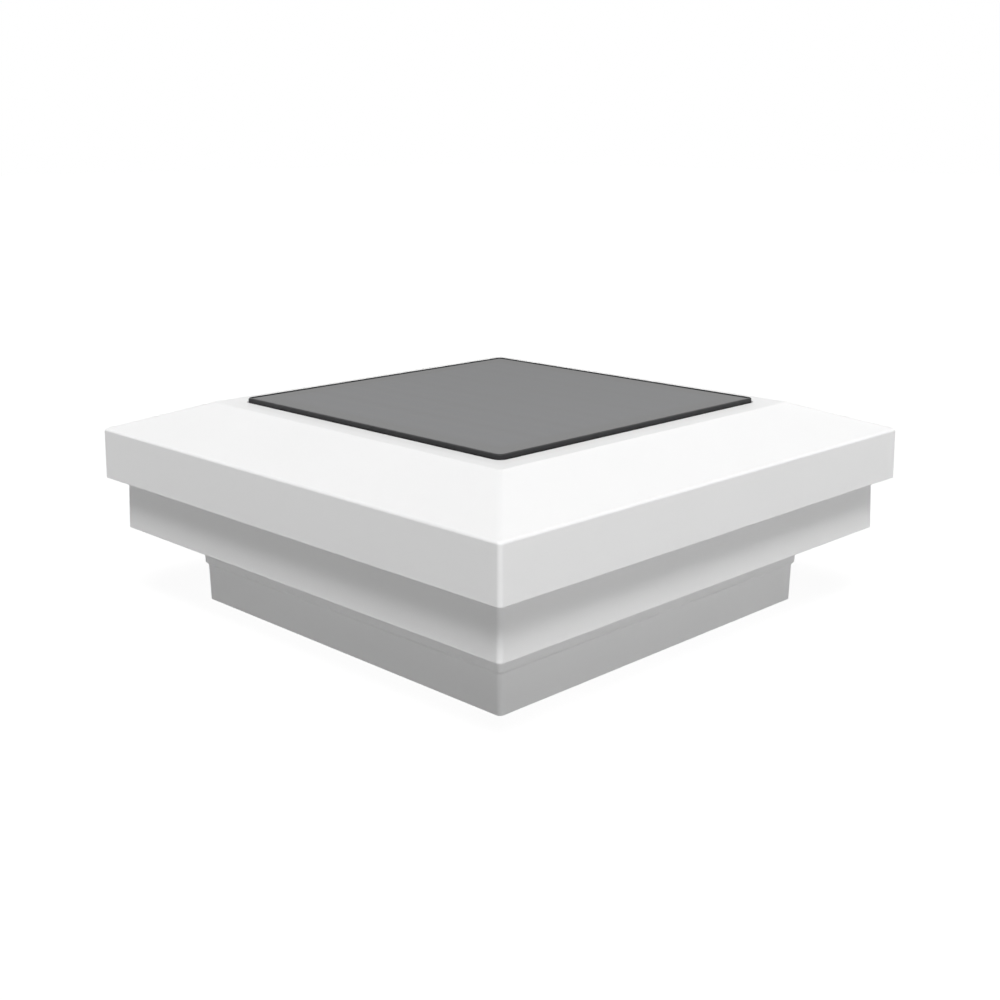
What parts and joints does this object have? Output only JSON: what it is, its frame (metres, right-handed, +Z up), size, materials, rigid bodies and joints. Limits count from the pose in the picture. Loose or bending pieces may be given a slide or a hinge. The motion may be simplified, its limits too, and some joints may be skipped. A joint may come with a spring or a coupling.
{
  "type": "deck post cap light",
  "caption": "Square three-tier solar light that caps a deck post: a dark window charges it, and lamps under the middle tier shine down the post.",
  "frame": {"origin": "centre of the collar's lower edge, the plane that the light stands on when it is off its post", "axes": "+Z up along the post, X and Y square to the sides, -Y the front side"},
  "size_m": [0.178, 0.178, 0.0666],
  "materials": {
    "white_moulding": "satin",
    "window_slab": "polished",
    "black_rubber": "matt",
    "clear_sheet": "clear",
    "solar_cell": "smooth",
    "tinned_metal": "tinned",
    "black_board": "matt",
    "screw_steel": "zinc plated",
    "frosted_lens": "frosted",
    "white_board": "solder mask",
    "lamp_chip": "phosphor",
    "cell_can": "nickel plated",
    "cell_sleeve": "shrink sleeve",
    "spring_steel": "plated wire",
    "switch_steel": "stamped",
    "green_board": "solder mask",
    "black_plastic": "moulded",
    "wound_copper": "enamelled wire",
    "cream_plastic": "moulded",
    "red_lead": "insulated wire",
    "black_lead": "insulated wire"
  },
  "bodies": {
    "light_body": {"top_cap": "white_moulding", "light_housing": "white_moulding", "base_collar": "white_moulding", "panel_window": "window_slab", "window_gasket": "black_rubber", "cap_seal": "black_rubber", "panel_encapsulant": "clear_sheet", "solar_cells": "solar_cell", "cell_ribbons": "tinned_metal", "panel_backing": "black_board", "panel_terminals": "tinned_metal", "cap_screws": "screw_steel", "diffuser": "frosted_lens", "diffuser_screws": "screw_steel", "led_strip_front": "white_board", "led_strip_right": "white_board", "led_strip_back": "white_board", "led_strip_left": "white_board", "led_chips": "lamp_chip", "strip_jumpers": "red_lead", "base_screws": "screw_steel", "battery_cell": "cell_can", "battery_sleeve": "cell_sleeve", "positive_contact": "tinned_metal", "negative_contact": "tinned_metal", "negative_spring": "spring_steel", "control_board": "green_board", "board_screws": "screw_steel", "charge_chip": "black_plastic", "power_inductor": "wound_copper", "power_capacitor": "cell_sleeve", "board_resistors": "black_plastic", "board_headers": "cream_plastic", "lead_plugs": "cream_plastic", "panel_lead_positive": "red_lead", "panel_lead_negative": "black_lead", "led_lead_positive": "red_lead", "led_lead_negative": "black_lead", "battery_lead_positive": "red_lead", "battery_lead_negative": "black_lead", "switch_body": "switch_steel", "switch_pins": "tinned_metal"},
    "switch_slider": {"switch_slider": "black_plastic"},
    "battery_door": {"battery_door": "white_moulding", "door_gasket": "black_rubber", "door_screws": "screw_steel"}
  },
  "joints": [
    {"name": "switch_slide", "type": "slide", "parent": "light_body", "child": "switch_slider", "axis": [1, 0, 0], "range_m": [0, 0.003]},
    {"name": "door_lift", "type": "slide", "parent": "light_body", "child": "battery_door", "axis": [0, 0, -1], "range_m": [0, 0.02]}
  ]
}
